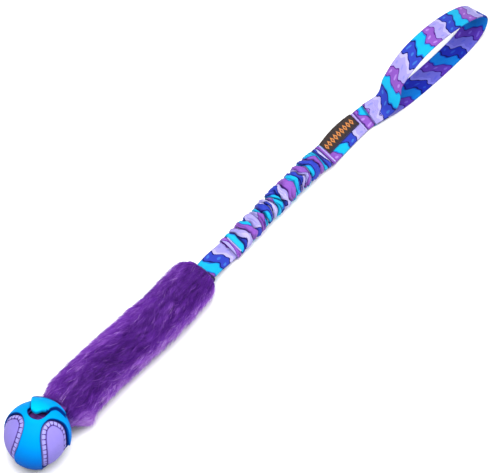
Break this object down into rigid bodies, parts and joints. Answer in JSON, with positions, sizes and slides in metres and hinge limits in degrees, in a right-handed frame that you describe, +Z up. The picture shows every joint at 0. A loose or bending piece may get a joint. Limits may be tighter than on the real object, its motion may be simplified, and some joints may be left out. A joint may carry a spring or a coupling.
{
  "type": "bungee tug toy",
  "caption": "Dog tug toy: slotted rubber treat ball, long faux-fur sleeve, gathered bungee section and a flat webbing hand loop, lying flat.",
  "frame": {"origin": "centre of the bounding box's underside, on the plane the toy lies on", "axes": "+X along the toy from the ball to the hand loop, +Z up from the surface it lies on"},
  "size_m": [0.7428, 0.0662, 0.0705],
  "materials": {
    "blue_rubber": "satin moulded blue rubber",
    "lilac_rubber": "satin lilac rubber with a fine leather grain",
    "purple_webbing": "flat woven webbing",
    "violet_knit": "knitted backing of the faux fur",
    "violet_pile": "long faux-fur pile",
    "printed_webbing": "woven webbing printed in lilac, cyan, blue, navy and violet bands",
    "printed_gather": "thin printed fabric gathered into ruffles",
    "natural_rubber": "extruded rubber cord",
    "lilac_thread": "sewing thread",
    "navy_thread": "sewing thread",
    "purple_thread": "sewing thread",
    "woven_label": "woven dark label with a row of orange diamonds"
  },
  "bodies": {
    "sleeve": {"fur_pile": "violet_pile", "fur_backing": "violet_knit", "core_webbing": "purple_webbing", "strap_splice_bartack": "purple_thread", "sleeve_stitch_ball_end": "purple_thread", "sleeve_stitch_bungee_end": "purple_thread", "webbing_splice_bartack": "purple_thread"},
    "ball": {"ball_shell": "blue_rubber", "ball_core": "lilac_rubber", "ball_strap": "purple_webbing", "strap_stop_bartack": "purple_thread"},
    "bungee_lower": {"lower_webbing": "printed_webbing", "bungee_tube": "printed_gather", "bungee_cord": "natural_rubber", "lower_bartack": "lilac_thread"},
    "bungee_upper": {"upper_bartack": "lilac_thread", "upper_webbing": "printed_webbing", "label": "woven_label", "label_stitching": "navy_thread", "hem_bartack": "lilac_thread"},
    "handle": {"handle_webbing": "printed_webbing", "box_stitch": "lilac_thread"}
  },
  "joints": [
    {"name": "ball_swing", "type": "hinge", "parent": "sleeve", "child": "ball", "pos_m": [-0.29702, 0.00177, 0.041], "axis": [-0.0971, 0.9953, 0], "range_deg": [-35, 45], "deforming": ["ball_strap"]},
    {"name": "bungee_lift", "type": "hinge", "parent": "sleeve", "child": "bungee_lower", "pos_m": [-0.05602, 0.01316, 0.0146], "axis": [0.0725, -0.8959, -0.4384], "range_deg": [-30, 75], "deforming": ["lower_webbing"]},
    {"name": "bungee_stretch", "type": "slide", "parent": "bungee_lower", "child": "bungee_upper", "axis": [0.9993, 0.0366, 0], "range_m": [0, 0.12], "stiffness_N_per_m": 400, "deforming": ["bungee_tube", "bungee_cord"]},
    {"name": "handle_lift", "type": "hinge", "parent": "bungee_upper", "child": "handle", "pos_m": [0.19198, 0.02038, 0.0084], "axis": [-0.1158, -0.8913, -0.4384], "range_deg": [-30, 90], "deforming": ["upper_webbing"]}
  ]
}
